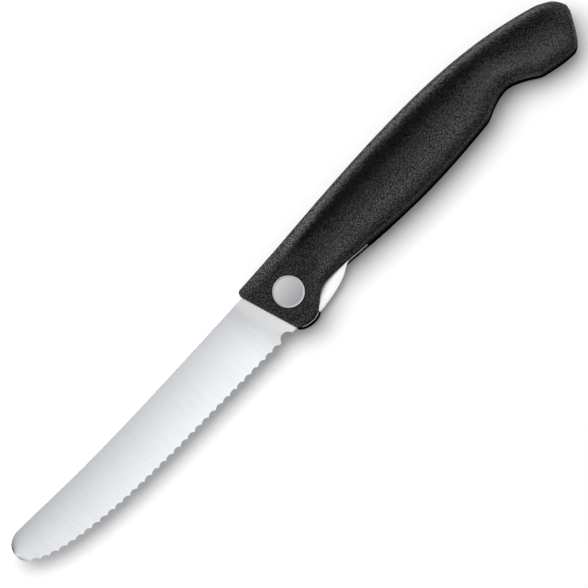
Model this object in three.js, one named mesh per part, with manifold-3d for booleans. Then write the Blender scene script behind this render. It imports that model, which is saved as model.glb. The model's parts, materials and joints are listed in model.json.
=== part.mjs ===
// A folding paring knife, lying on its side with the blade open.
// Lengths are in millimetres. The pivot axis is the z axis, +x runs to the butt of the handle, +y to
// the spine and +z to the near side. z = 0 is the outer face of the far rivet head.
import * as THREE from "three";
import { mergeVertices } from "three/addons/utils/BufferGeometryUtils.js";
import Module from "manifold-3d";

const wasm = await Module();
wasm.setup();

// Blade: heights are over the pivot, depths below it
const BLADE_REACH = 119.2; // pivot to tip
const BLADE_THICK = 1.5;
const EDGE_THICK = 0.4; // left along the edge by the flat grind
const SPINE_TANG = 10.35; // spine height at the tang
const SPINE_DIP = 7.5; // spine height at its lowest
const DIP_TO_TIP = 37;
const SPINE_TIP = 8.05; // spine height where the tip starts to round
const TIP_HEIGHT = 3.05; // height of the foremost point
const TIP_ROUND = 5.8; // length of the round corner between spine and tip
const EDGE_HEEL = 9.05; // edge depth at the heel
const EDGE_DEPTH = 9.6; // edge depth at its lowest
const SWEEP = 59.2; // length of the edge's rise to the tip
const SWEEP_POWER = 2.5; // how square that rise is, 2 being an ellipse
const HEEL = 13.9; // first wave, ahead of the pivot
const WAVE_PITCH = 3.165;
const WAVE_DEPTH = 0.72;
const WAVE_LAND = 0.06; // the waves would meet this far outside the edge
const WAVE_HOLLOW = 2; // how much further each hollow runs up the far side
const PLAIN_TIP = 4; // length along the edge left plain at the tip
const HEEL_LAND = 0.9; // plain edge between the first wave and the sharpening notch
const CHOIL_WIDTH = 4.7; // sharpening notch at the heel
const CHOIL_DEPTH = 1.75;
const RICASSO = 3.2; // unground strip ahead of the handle

// Tang and stop
const TANG_WALL = 1; // steel round the lock holes
const STOP_RADIUS = 1.25;
const STOP_ANGLE = 95; // degrees from +x to the stop pin
const STOP_SEAT = 1; // depth of the pin in each handle half
const STOP_GAP = 0.12;
const STOP_WALL = 0.75; // handle wall over the stop pin, at the front

// Pivot
const BARREL_RADIUS = 3;
const SHANK_RADIUS = 1.7;
const HEAD_RIM = 2.2; // how far the heads stand out round the barrel
const HEAD_THICK = 1.3;
const HEAD_PROUD = 0.15;
const HEAD_GAP = 0.15; // round the head in its counterbore
const WASHER_WIDTH = 1.8; // from the barrel to the washer's rim
const WASHER_THICK = 0.4;

// Handle outline
const FRONT_TOP = 11.85; // front edge ahead of the pivot, at the spine
const FRONT_LOW = 6.1; // and at the belly
const ARCH_AT = 66.6; // highest point of the spine, behind the pivot
const SPINE_WALL = 5.72; // at that point, from the folded edge's clearance to the outside
const EDGE_GAP = 0.9; // round the folded edge
const TIP_GAP = 1.3; // past the folded tip
const BUTT_WALL = 4.7;
const BUTT_TOP = 9.7; // spine height where the butt starts to round
const BUTT_ROUND = 8.2;
const BUTT_END_HIGH = 2.6; // height where the round meets the butt's end
const BUTT_END_LOW = 0.6; // and where the end meets the belly
const BUTT_LEAN = 0.4; // lean of that end
const LOBE_COVER = 2.15; // the round lobe under the pivot reaches this far below the heel
const LOBE_AT = 0.2; // its lowest point, ahead of the pivot
const LOBE_RISE = 1.8; // from there up to the front corner
const FLANK_AT = 5; // middle of the steep flank between lobe and thumb recess
const FLANK_DEPTH = 8.3;
const RECESS_DEPTH = 5.25; // belly depth in the thumb recess
const RECESS_AT = 11.2;
const RECESS_END = 22.6; // where the recess runs out into the grip
const RECESS_END_DEPTH = 5.9;
const GRIP_DEPTH = 7.55; // belly depth in mid grip
const GRIP_AT = 51;
const NOTCH_DEPTH = 2.35; // belly depth at the top of the finger notch
const NOTCH_TO_BUTT = 32.2;
const NOTCH_LEAD = 11.4; // notch length ahead of its top
const NOTCH_TAIL = 11.6; // and behind it
const NOTCH_LIP = 5.75; // belly depth at the notch's front corner
const HOOK_DEPTH = 9.55; // belly depth behind the notch
const HOOK_TO_BUTT = 9;
const FAR_LIP = 0.2; // the far half's belly stands out this far ahead of the grip

// Handle thickness, from the middle plane to one side
const BOLSTER_HALF = 5.45;
const GRIP_HALF = 7.4;
const BUTT_HALF = 6.2;
const BOLSTER_POWER = 6; // how square the section is at the belly, 2 being an ellipse
const GRIP_POWER = 2.4;
const SPINE_POWER = 2.15; // and at the grip's spine
const SHOULDER = 0.48; // width of the bolster's shoulder at the spine, as a share of its half width
const SHOULDER_FRONT = 0.34; // the same at the front edge
const SHOULDER_PITCH = 2.05; // fall of that shoulder for its width, as a share of the crown
const SHOULDER_FALL = 0.7; // steepness where it starts, 1 being a straight slope
const SHOULDER_ROUND = 0.2; // how softly it starts
const SWELL_START = 5; // the bolster passes into the grip from here
const SWELL_END = 38;
const STRAIGHT_WALL = 1.2; // upright wall beside the blade slot
const FRONT_FILLET = 1.5;
const BUTT_FILLET = 8;
const SLOT_FRONT = 3; // the spine wall starts here, behind the pivot
const PEG_RADIUS = 1.6;
const PEG_LENGTH = 2.1;
const PEGS_TO_BUTT = [91, 53, 19];

// Lock
const LINER_THICK = 1;
const LINER_TO_STOP = 1.5; // from the liner's upper edge to the stop pin
const LINER_LOW = 5.2; // liner depth behind the lobe
const LINER_REAR = 58; // liner end behind the pivot
const LINER_WALL = 0.8; // handle wall in front of the liner
const LINER_INSET = 0.36; // liner edge inside the lobe
const FLUSH_INSET = 0.55; // arm edge inside the belly, behind the tab
const ARM_ROOT = 48; // bend line of the lock arm, behind the pivot
const ARM_NOSE = 1.3; // arm ahead of the stud
const ARM_TOP = 0.8; // depth of the arm's upper edge
const ARM_GAP = 0.4; // slot between arm and liner
const LINER_RING = 0.92; // liner between the pivot and that slot
const TAB_STEP = 1.05; // from the thumb tab's front up to the lobe's lowest point
const TAB_END = 20.5; // where the tab meets the belly
const FLUSH_END = 28; // the arm lies flush with the belly as far as this
const STUD_OFF = 0.4; // from the washer's rim to the stud
const LOCK_ANGLE = -40; // degrees from +x to the stud
const STUD_RADIUS = 1;
const STUD_PLAY = 0.2;
const STUD_REACH = 1.05; // into the tang when locked
const STUD_CLEAR = 0.2; // off the tang when released
const RIVET_RADIUS = 1.2;
const RIVET_HEAD = 2;
const RIVET_CONE = 0.5;
const RIVET_LAND = 0.15; // upright rim of the head
const RIVET_GRIP = 2.2; // length in the far half
const RIVET_SPOTS = {
  liner_rivet_front: [20, 3.6],
  liner_rivet_upper: [53.2, 3.4],
  liner_rivet_lower: [53.2, -2.2],
};

// Clearances
const RUN_GAP = 0.04; // each side of a washer
const FIT_GAP = 0.08; // round a shaft or a pin
const SEAT_GAP = 0.05; // under a seated piece
const POCKET_GAP = 0.15; // round the liner

// Fineness of the facets
const ROUND_STEPS = 40;
const SMALL_STEPS = 20;
const HANDLE_STEPS = 50;
const SECTION_STEPS = 12;
const FILLET_STEPS = 4;

const rad = THREE.MathUtils.degToRad;
const { clamp, lerp, smoothstep } = THREE.MathUtils;

// Levels from the middle plane, and places that follow from the sizes
const midHeight = BOLSTER_HALF + HEAD_PROUD;
const slotHalf = BLADE_THICK / 2 + WASHER_THICK + 2 * RUN_GAP;
const linerFloor = slotHalf + LINER_THICK;
const headSeat = midHeight - HEAD_THICK;
const buttReach = BLADE_REACH + TIP_GAP + BUTT_WALL;
const buttLow = buttReach - BUTT_LEAN;
const archPeak = EDGE_DEPTH + EDGE_GAP + SPINE_WALL;
const headRadius = BARREL_RADIUS + HEAD_RIM;
const washerRadius = BARREL_RADIUS + WASHER_WIDTH;
const lockRadius = washerRadius + STUD_OFF + STUD_RADIUS;
const tangRadius = lockRadius + STUD_RADIUS + STUD_PLAY + TANG_WALL;
const stopDistance = tangRadius + STOP_GAP + STOP_RADIUS;
const stopSpot = atAngle(stopDistance, STOP_ANGLE);
const studSpot = atAngle(lockRadius, LOCK_ANGLE);
const archFront = stopDistance + STOP_RADIUS + STOP_WALL;
const lobeDepth = EDGE_HEEL + LOBE_COVER;
const tabDepth = lobeDepth - TAB_STEP;
const linerTop = stopSpot.y - STOP_RADIUS - LINER_TO_STOP;
const armFront = studSpot.x - STUD_RADIUS - ARM_NOSE;
const armClear = BARREL_RADIUS + FIT_GAP + LINER_RING + ARM_GAP;
const armSwing = Math.asin((STUD_REACH + STUD_CLEAR) / (ARM_ROOT - studSpot.x));
const armDrop = (ARM_ROOT - armFront) * Math.tan(armSwing);
const outside = archPeak + lobeDepth; // cutters start this far outside the piece

// A point at a distance and an angle in degrees from the pivot.
function atAngle(distance, degrees) {
  return new THREE.Vector2(distance * Math.cos(rad(degrees)), distance * Math.sin(rad(degrees)));
}

// A smooth line y(x) through nodes of [x, y, slope].
function smoothLine(nodes) {
  return (x) => {
    let i = 0;
    while (i + 2 < nodes.length && x > nodes[i + 1][0]) i++;
    const [x0, y0, slope0] = nodes[i];
    const [x1, y1, slope1] = nodes[i + 1];
    const width = x1 - x0;
    const t = (x - x0) / width;
    const s = 1 - t;
    const ends = s * s * (1 + 2 * t) * y0 + t * t * (1 + 2 * s) * y1;
    return ends + s * t * width * (s * slope0 - t * slope1);
  };
}

const notchAt = buttReach - NOTCH_TO_BUTT;
const hookAt = buttReach - HOOK_TO_BUTT;
const spineLine = smoothLine([
  [-FRONT_TOP, archFront - FRONT_FILLET, 3],
  [-FRONT_TOP + FRONT_FILLET, archFront, 0.065],
  [ARCH_AT, archPeak, 0],
  [buttReach - BUTT_ROUND, BUTT_TOP, -0.3],
  [buttReach - 0.4 * BUTT_ROUND, 0.75 * BUTT_TOP, -0.62],
  [buttReach, BUTT_END_HIGH, -2.6],
]);
const bellyLine = smoothLine([
  [-FRONT_LOW, LOBE_RISE - lobeDepth, -0.8],
  [-LOBE_AT, -lobeDepth, 0],
  [FLANK_AT, -FLANK_DEPTH, 0.9],
  [RECESS_AT, -RECESS_DEPTH, 0],
  [RECESS_END, -RECESS_END_DEPTH, -0.085],
  [GRIP_AT, -GRIP_DEPTH, 0],
  [notchAt - NOTCH_LEAD, -NOTCH_LIP, 0.1],
  [notchAt - 0.77 * NOTCH_LEAD, lerp(-NOTCH_LIP, -NOTCH_DEPTH, 0.28), 0.45],
  [notchAt, -NOTCH_DEPTH, 0],
  [notchAt + 0.69 * NOTCH_TAIL, lerp(-NOTCH_DEPTH, -HOOK_DEPTH, 0.45), -0.62],
  [notchAt + NOTCH_TAIL, lerp(-NOTCH_DEPTH, -HOOK_DEPTH, 0.74), -0.25],
  [hookAt, -HOOK_DEPTH, 0],
  [hookAt + HOOK_TO_BUTT / 3, -0.85 * HOOK_DEPTH, 1],
  [buttLow, BUTT_END_LOW, 2],
]);
const bladeSpine = smoothLine([
  [-BLADE_REACH, SPINE_TIP, 0],
  [TIP_ROUND - BLADE_REACH, SPINE_TIP, -0.02],
  [DIP_TO_TIP - BLADE_REACH, SPINE_DIP, 0.005],
  [0, SPINE_TANG, 0.035],
]);

// How far the bolster has passed into the grip.
const swellLine = smoothLine([
  [SWELL_START, 0, 0],
  [lerp(SWELL_START, SWELL_END, 0.09), 0.1, 0.075],
  [lerp(SWELL_START, SWELL_END, 0.21), 0.39, 0.065],
  [lerp(SWELL_START, SWELL_END, 0.33), 0.57, 0.035],
  [lerp(SWELL_START, SWELL_END, 0.575), 0.8, 0.026],
  [SWELL_END, 1, 0],
]);

// The handle's slanted front edge, x at height y.
function frontEdge(y) {
  const top = spineLine(-FRONT_TOP);
  const low = bellyLine(-FRONT_LOW);
  return lerp(-FRONT_LOW, -FRONT_TOP, (y - low) / (top - low));
}

// Depth of the edge's rise to the tip, at a distance ahead of the pivot.
function sweepDepth(ahead) {
  const along = Math.max(0, 1 - (BLADE_REACH - ahead) / SWEEP);
  const left = Math.max(0, 1 - along ** SWEEP_POWER) ** (1 / SWEEP_POWER);
  return (TIP_HEIGHT + EDGE_DEPTH) * left - TIP_HEIGHT;
}

// The cutting edge from heel to tip, without its waves, closer towards the tip.
function edgePoints() {
  const points = [new THREE.Vector2(-HEEL, -EDGE_HEEL)];
  for (let i = 0; i <= ROUND_STEPS; i++) {
    const along = Math.sin((i / ROUND_STEPS) * (Math.PI / 2)) ** (2 / SWEEP_POWER);
    const ahead = BLADE_REACH - SWEEP * (1 - along);
    points.push(new THREE.Vector2(-ahead, -sweepDepth(ahead)));
  }
  return points;
}

// Solids: a closed geometry as a solid that can be joined and cut, and back again.
function solid(geometry) {
  const bare = geometry.clone();
  bare.deleteAttribute("normal");
  bare.deleteAttribute("uv");
  const merged = mergeVertices(bare, 1e-4);
  const index = merged.index.array;
  const kept = [];
  for (let i = 0; i < index.length; i += 3) {
    const [a, b, c] = index.slice(i, i + 3);
    if (a !== b && b !== c && c !== a) kept.push(a, b, c);
  }
  const vertProperties = new Float32Array(merged.attributes.position.array);
  const mesh = new wasm.Mesh({ numProp: 3, vertProperties, triVerts: new Uint32Array(kept) });
  return new wasm.Manifold(mesh);
}

function geometryOf(made) {
  const mesh = made.getMesh();
  const geometry = new THREE.BufferGeometry();
  geometry.setAttribute("position", new THREE.BufferAttribute(mesh.vertProperties, 3));
  geometry.setIndex(new THREE.BufferAttribute(mesh.triVerts, 1));
  geometry.computeVertexNormals();
  return geometry;
}

function cut(base, ...cutters) {
  return cutters.reduce((left, cutter) => left.subtract(solid(cutter)), base);
}

// A round piece about z through a profile of [radius, z], listed upwards.
function turned(profile, spot = new THREE.Vector2(), steps = ROUND_STEPS) {
  const points = profile.map(([r, z]) => new THREE.Vector2(r, z));
  return new THREE.LatheGeometry(points, steps).rotateX(Math.PI / 2).translate(spot.x, spot.y, 0);
}

function rod(radius, low, high, spot, steps) {
  return turned([[0, low], [radius, low], [radius, high], [0, high]], spot, steps);
}

// A flat piece with the given outline, between two levels.
function plate(points, low, high) {
  const options = { depth: high - low, bevelEnabled: false };
  return new THREE.ExtrudeGeometry(new THREE.Shape(points), options).translate(0, 0, low);
}

// A skin over closed rings of points, each listed clockwise as seen from +x, with flat ends.
function loft(rings) {
  const count = rings[0].length;
  const last = (rings.length - 1) * count;
  const faces = [];
  for (let ring = 0; ring < last; ring += count) {
    for (let j = 0; j < count; j++) {
      const a = ring + j;
      const b = ring + ((j + 1) % count);
      faces.push(a, a + count, b + count, a, b + count, b);
    }
  }
  for (let j = 1; j + 1 < count; j++) {
    faces.push(0, j, j + 1);
    faces.push(last, last + j + 1, last + j);
  }
  const geometry = new THREE.BufferGeometry().setFromPoints(rings.flat());
  geometry.setIndex(faces);
  return geometry;
}

// The same skin on the other side of the middle plane.
function mirrored(geometry) {
  const copy = geometry.clone().scale(1, 1, -1);
  const index = copy.index.array;
  for (let i = 0; i < index.length; i += 3) [index[i], index[i + 1]] = [index[i + 1], index[i]];
  return copy;
}

// Quarter-round rise of a filleted edge: 0 on the edge, 1 a radius inside it.
function filletRise(inside, radius) {
  const left = Math.max(0, 1 - inside / radius);
  return Math.sqrt(Math.max(0, 1 - left * left));
}

// Crown of the bolster's section: square at the belly, falling over a rounded shoulder at the spine.
function bolsterCrown(x, across) {
  const width = lerp(SHOULDER_FRONT, SHOULDER, smoothstep(x, -FRONT_TOP, SWELL_START));
  const softened = (u) => u + Math.hypot(u, SHOULDER_ROUND);
  const down = softened((across - 1) / width + 1) / softened(1);
  const belly = (1 - Math.max(0, -across) ** BOLSTER_POWER) ** (1 / BOLSTER_POWER);
  return belly * (1 - SHOULDER_PITCH * width * lerp(down * down, down, SHOULDER_FALL));
}

// Outer surface of a handle half, as a distance from the middle plane. across runs from -1 at the
// belly to 1 at the spine.
function handleHeight(x, across, fromFront, fromButt) {
  const swell = swellLine(clamp(x, SWELL_START, SWELL_END));
  const thin = smoothstep(x, ARCH_AT, buttReach);
  const half = lerp(lerp(BOLSTER_HALF, GRIP_HALF, swell), BUTT_HALF, thin);
  const power = across > 0 ? SPINE_POWER : GRIP_POWER;
  const gripCrown = (1 - Math.abs(across) ** power) ** (1 / power);
  const crown = lerp(bolsterCrown(x, across), gripCrown, swell);
  const ends = filletRise(fromFront, FRONT_FILLET) * filletRise(fromButt, BUTT_FILLET);
  const wall = slotHalf + STRAIGHT_WALL;
  return wall + (half - wall) * crown * ends;
}

// Stations along the handle, from 0 at the front edge to 1 at the butt, closer at both fillets.
function handleStations() {
  const length = buttReach + FRONT_TOP;
  const first = FRONT_FILLET / length;
  const last = 1 - BUTT_FILLET / length;
  const stations = [];
  for (let i = 0; i < FILLET_STEPS; i++) {
    const round = 1 - Math.cos((i / FILLET_STEPS) * (Math.PI / 2));
    stations.push(first * round, lerp(1, last, round));
  }
  for (let i = 0; i <= HANDLE_STEPS; i++) stations.push(lerp(first, last, i / HANDLE_STEPS));
  return stations.sort((a, b) => a - b);
}

// One solid handle half on the near side, from its inner level outwards. The lip lowers its belly as
// far back as the arm lies flush.
function handleHalf(inner, lip) {
  const length = lerp(buttLow, buttReach, 0.5) + FRONT_TOP;
  const rings = handleStations().map((station) => {
    const lowX = lerp(-FRONT_LOW, buttLow, station);
    const highX = lerp(-FRONT_TOP, buttReach, station);
    const lipHere = lip * (1 - smoothstep(lowX, FLUSH_END, ARM_ROOT));
    const low = new THREE.Vector3(lowX, bellyLine(lowX) - lipHere, inner);
    const high = new THREE.Vector3(highX, spineLine(highX), inner);
    const ring = [low];
    for (let j = 0; j <= SECTION_STEPS; j++) {
      const across = -Math.cos((j / SECTION_STEPS) * Math.PI);
      const point = low.clone().lerp(high, (1 + across) / 2);
      point.z = handleHeight(point.x, across, station * length, (1 - station) * length);
      ring.push(point);
    }
    ring.push(high);
    return ring;
  });
  return loft(rings);
}

// Space for the folded blade, open to the belly and the front: its upper edge clears the folded edge.
function slotOutline() {
  const wallX = BLADE_REACH + TIP_GAP;
  const points = [[-outside, outside], [SLOT_FRONT, outside], [SLOT_FRONT, EDGE_DEPTH + EDGE_GAP]];
  for (const { x, y } of edgePoints().slice(1)) points.push([-x, EDGE_GAP - y]);
  points.push([wallX, EDGE_GAP - TIP_HEIGHT], [wallX, -outside], [-outside, -outside]);
  return points.map(([x, y]) => new THREE.Vector2(x, y));
}

// Liner outline with its lobe, before the arm is cut out of it.
function linerOutline() {
  const inset = LINER_WALL + POCKET_GAP;
  const points = [new THREE.Vector2(frontEdge(linerTop) + inset, linerTop)];
  const lobeFront = frontEdge(-lobeDepth) + inset;
  const lobeRear = armFront;
  for (let i = 0; i <= SMALL_STEPS; i++) {
    const x = lerp(lobeFront, lobeRear, i / SMALL_STEPS);
    points.push(new THREE.Vector2(x, bellyLine(x) + LINER_INSET));
  }
  points.push(new THREE.Vector2(lobeRear, -LINER_LOW));
  points.push(new THREE.Vector2(LINER_REAR, -LINER_LOW));
  points.push(new THREE.Vector2(LINER_REAR, linerTop));
  return points;
}

// Pocket for the liner in the far half, open to the belly as far as the arm lies flush.
function pocketOutline() {
  const top = linerTop + POCKET_GAP;
  const low = -LINER_LOW - POCKET_GAP;
  const rear = LINER_REAR + POCKET_GAP;
  return [
    new THREE.Vector2(frontEdge(top) + LINER_WALL, top),
    new THREE.Vector2(frontEdge(-outside) + LINER_WALL, -outside),
    new THREE.Vector2(FLUSH_END + ARM_GAP, -outside),
    new THREE.Vector2(FLUSH_END + ARM_GAP, low),
    new THREE.Vector2(rear, low),
    new THREE.Vector2(rear, top),
  ];
}

// Upper side of the arm's outline from root to front, passing under the pivot.
function armUpperEdge(grow) {
  const clear = armClear - grow;
  const start = -Math.asin((ARM_TOP - grow) / clear);
  const end = -Math.acos((armFront - grow) / clear);
  const points = [new THREE.Vector2(ARM_ROOT + grow, grow - ARM_TOP)];
  for (let i = 0; i <= SMALL_STEPS / 4; i++) {
    const angle = lerp(start, end, i / (SMALL_STEPS / 4));
    points.push(new THREE.Vector2(clear * Math.cos(angle), clear * Math.sin(angle)));
  }
  return points;
}

// Lock arm: a strip with the thumb tab at its front.
function armOutline() {
  const tabLine = smoothLine([
    [armFront, -tabDepth, 0.08],
    [lerp(armFront, TAB_END, 0.7), lerp(-tabDepth, bellyLine(TAB_END), 0.56), 0.36],
    [TAB_END, bellyLine(TAB_END) + FLUSH_INSET, 0.1],
  ]);
  const points = armUpperEdge(0);
  for (let i = 0; i <= SMALL_STEPS; i++) {
    const x = lerp(armFront, FLUSH_END, i / SMALL_STEPS);
    points.push(new THREE.Vector2(x, x < TAB_END ? tabLine(x) : bellyLine(x) + FLUSH_INSET));
  }
  points.push(new THREE.Vector2(FLUSH_END, -LINER_LOW));
  points.push(new THREE.Vector2(ARM_ROOT, -LINER_LOW));
  return points;
}

// Room round the arm, open to the belly.
function armRoomOutline() {
  const points = armUpperEdge(ARM_GAP);
  points.push(new THREE.Vector2(armFront - ARM_GAP, -outside));
  points.push(new THREE.Vector2(FLUSH_END + ARM_GAP, -outside));
  points.push(new THREE.Vector2(FLUSH_END + ARM_GAP, -LINER_LOW - ARM_GAP));
  points.push(new THREE.Vector2(ARM_ROOT + ARM_GAP, -LINER_LOW - ARM_GAP));
  return points;
}

// Blade outline: tang, heel, edge, tip and spine.
function bladeOutline() {
  const lean = Math.asin((STOP_RADIUS + STOP_GAP) / stopDistance);
  const openFace = rad(STOP_ANGLE) + lean;
  const foldedFace = rad(STOP_ANGLE) - Math.PI - lean;
  const points = [];
  for (let i = 0; i <= ROUND_STEPS; i++) {
    const angle = lerp(openFace, foldedFace, i / ROUND_STEPS);
    points.push(new THREE.Vector2(tangRadius * Math.cos(angle), tangRadius * Math.sin(angle)));
  }
  points.push(new THREE.Vector2(-EDGE_HEEL / Math.tan(foldedFace), -EDGE_HEEL));
  points.push(...edgePoints());
  const cornerX = TIP_ROUND - BLADE_REACH;
  for (let i = 1; i < SMALL_STEPS / 2; i++) {
    const turn = (i / (SMALL_STEPS / 2)) * (Math.PI / 2);
    const y = lerp(TIP_HEIGHT, SPINE_TIP, Math.sin(turn));
    points.push(new THREE.Vector2(cornerX - TIP_ROUND * Math.cos(turn), y));
  }
  const shoulder = SPINE_TANG / Math.tan(openFace);
  for (let i = 0; i <= SMALL_STEPS; i++) {
    const x = lerp(cornerX, shoulder, i / SMALL_STEPS);
    points.push(new THREE.Vector2(x, bladeSpine(x)));
  }
  return points;
}

// Half the ground blade's thickness at height y.
function groundHalf(y) {
  return lerp(EDGE_THICK, BLADE_THICK, (y + EDGE_DEPTH) / (SPINE_TANG + EDGE_DEPTH)) / 2;
}

// Flat grind on the near side: a wedge from the spine to the edge, ending in a slanted plunge line.
function grindCutter() {
  const section = [
    [-EDGE_DEPTH, groundHalf(-EDGE_DEPTH)],
    [-EDGE_DEPTH, BLADE_THICK],
    [SPINE_TANG, BLADE_THICK],
    [SPINE_TANG, groundHalf(SPINE_TANG)],
  ];
  const ahead = section.map(([y, z]) => new THREE.Vector3(-BLADE_REACH - outside, y, z));
  const plunge = section.map(([y, z]) => new THREE.Vector3(frontEdge(y) - RICASSO, y, z));
  return loft([ahead, plunge]);
}

// One wave of the edge: a round hollow that slants up into the far side.
function waveCutter(start, end) {
  const full = WAVE_DEPTH + WAVE_LAND;
  const radius = (WAVE_PITCH ** 2 / 4 + full ** 2) / (2 * full);
  const outward = new THREE.Vector2(start.y - end.y, end.x - start.x).normalize();
  const centre = start.clone().add(end).multiplyScalar(0.5).addScaledVector(outward, radius - WAVE_DEPTH);
  const nearFace = groundHalf(start.y);
  const slant = WAVE_HOLLOW / (2 * nearFace);
  const shear = new THREE.Matrix4().makeShear(0, 0, 0, 0, slant * outward.x, slant * outward.y);
  const cutter = rod(radius, -BLADE_THICK, BLADE_THICK, new THREE.Vector2(), SMALL_STEPS);
  return cutter.applyMatrix4(shear).translate(centre.x, centre.y, nearFace);
}

function waveCutters() {
  const edge = new THREE.Path(edgePoints());
  const length = edge.getLength();
  const count = Math.floor((length - PLAIN_TIP) / WAVE_PITCH);
  const cusps = [];
  for (let i = 0; i <= count; i++) cusps.push(edge.getPoint((i * WAVE_PITCH) / length));
  return cusps.slice(1).map((cusp, i) => waveCutter(cusps[i], cusp));
}

function bladeGeometry() {
  const choilRadius = (CHOIL_WIDTH ** 2 / 4 + CHOIL_DEPTH ** 2) / (2 * CHOIL_DEPTH);
  const choilX = HEEL_LAND + CHOIL_WIDTH / 2 - HEEL;
  const choilSpot = new THREE.Vector2(choilX, CHOIL_DEPTH - EDGE_HEEL - choilRadius);
  const lockHole = (spot) => rod(STUD_RADIUS + STUD_PLAY, -BLADE_THICK, BLADE_THICK, spot, SMALL_STEPS);
  const grind = grindCutter();
  const stock = solid(plate(bladeOutline(), -BLADE_THICK / 2, BLADE_THICK / 2));
  return geometryOf(
    cut(
      stock,
      grind,
      mirrored(grind),
      ...waveCutters(),
      rod(choilRadius, -BLADE_THICK, BLADE_THICK, choilSpot, SMALL_STEPS),
      rod(BARREL_RADIUS + FIT_GAP, -BLADE_THICK, BLADE_THICK),
      lockHole(studSpot),
      lockHole(studSpot.clone().negate()),
    ),
  );
}

// Handle halves: bored for the pivot and the stop pin, pegged together along the spine wall.
function pivotBore() {
  return turned([
    [0, -outside],
    [BARREL_RADIUS + FIT_GAP, -outside],
    [BARREL_RADIUS + FIT_GAP, headSeat - SEAT_GAP],
    [headRadius + HEAD_GAP, headSeat - SEAT_GAP],
    [headRadius + HEAD_GAP, outside],
    [0, outside],
  ]);
}

// Pegs stand in the middle of the spine wall.
function pegSpots() {
  return PEGS_TO_BUTT.map((toButt) => {
    const x = buttReach - toButt;
    return new THREE.Vector2(x, (EDGE_GAP + sweepDepth(x) + spineLine(x)) / 2);
  });
}

function nearScaleGeometry() {
  const stopHole = rod(STOP_RADIUS + FIT_GAP, 0, slotHalf + STOP_SEAT + SEAT_GAP, stopSpot, SMALL_STEPS);
  let scale = cut(solid(handleHalf(slotHalf, 0)), pivotBore(), stopHole);
  for (const spot of pegSpots()) {
    scale = scale.add(solid(rod(PEG_RADIUS, slotHalf - PEG_LENGTH, slotHalf + 1, spot, SMALL_STEPS)));
  }
  return geometryOf(scale);
}

function farScaleGeometry() {
  const half = solid(mirrored(handleHalf(SEAT_GAP - slotHalf, FAR_LIP)));
  const stopHole = rod(STOP_RADIUS + FIT_GAP, -slotHalf - STOP_SEAT - SEAT_GAP, 0, stopSpot, SMALL_STEPS);
  const armRoom = plate(armRoomOutline(), -linerFloor - armDrop - ARM_GAP, 0);
  const sockets = pegSpots().map((spot) =>
    rod(PEG_RADIUS + FIT_GAP, slotHalf - PEG_LENGTH - POCKET_GAP, outside, spot, SMALL_STEPS),
  );
  const rivetDepth = -linerFloor - RIVET_GRIP - SEAT_GAP;
  const rivetHoles = Object.values(RIVET_SPOTS).map((spot) =>
    rod(RIVET_RADIUS + FIT_GAP, rivetDepth, 0, new THREE.Vector2(...spot), SMALL_STEPS),
  );
  return geometryOf(
    cut(
      half,
      plate(slotOutline(), -slotHalf, outside),
      plate(pocketOutline(), -linerFloor - SEAT_GAP, 0),
      armRoom,
      pivotBore().rotateX(Math.PI),
      stopHole,
      ...sockets,
      ...rivetHoles,
    ),
  );
}

// Rivet with a countersunk head just under the liner's face. With play and a rise it is its own hole.
function rivetGeometry(spot, play = 0, rise = 0) {
  const top = -slotHalf - RUN_GAP;
  const profile = [
    [0, -linerFloor - RIVET_GRIP],
    [RIVET_RADIUS + play, -linerFloor - RIVET_GRIP],
    [RIVET_RADIUS + play, top - RIVET_LAND - RIVET_CONE],
    [RIVET_HEAD + play, top - RIVET_LAND],
    [RIVET_HEAD + play, top + rise],
    [0, top + rise],
  ];
  return turned(profile, new THREE.Vector2(...spot), SMALL_STEPS);
}

function linerGeometry() {
  const low = -linerFloor;
  const holes = Object.values(RIVET_SPOTS).map((spot) => rivetGeometry(spot, FIT_GAP, outside));
  return geometryOf(
    cut(
      solid(plate(linerOutline(), low, -slotHalf)),
      plate(armRoomOutline(), low - 1, 0),
      rod(BARREL_RADIUS + FIT_GAP, low - 1, 0),
      ...holes,
    ),
  );
}

function washerGeometry(low) {
  const hole = BARREL_RADIUS + FIT_GAP;
  const high = low + WASHER_THICK;
  return turned([[hole, low], [washerRadius, low], [washerRadius, high], [hole, high], [hole, low]]);
}

// Hollow rivet half with the far head, and the solid half with the near head that fits into it.
function barrelGeometry() {
  return turned([
    [0, -midHeight],
    [headRadius, -midHeight],
    [headRadius, -headSeat],
    [BARREL_RADIUS, -headSeat],
    [BARREL_RADIUS, headSeat - SEAT_GAP],
    [SHANK_RADIUS + FIT_GAP, headSeat - SEAT_GAP],
    [SHANK_RADIUS + FIT_GAP, -headSeat],
    [0, -headSeat],
  ]);
}

function pinGeometry() {
  return turned([
    [0, SEAT_GAP - headSeat],
    [SHANK_RADIUS, SEAT_GAP - headSeat],
    [SHANK_RADIUS, headSeat],
    [headRadius, headSeat],
    [headRadius, midHeight],
    [0, midHeight],
  ]);
}

// Materials
function blackPlastic() {
  return new THREE.MeshStandardMaterial({ color: 0x1d1d1f, roughness: 0.55, metalness: 0 });
}

function satinSteel() {
  return new THREE.MeshStandardMaterial({ color: 0xc4c8cc, roughness: 0.3, metalness: 1 });
}

function paleNylon() {
  return new THREE.MeshStandardMaterial({ color: 0xd8d4c8, roughness: 0.6, metalness: 0 });
}

function piece(name, geometry, material) {
  const mesh = new THREE.Mesh(geometry, material);
  mesh.name = name;
  return mesh;
}

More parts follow.
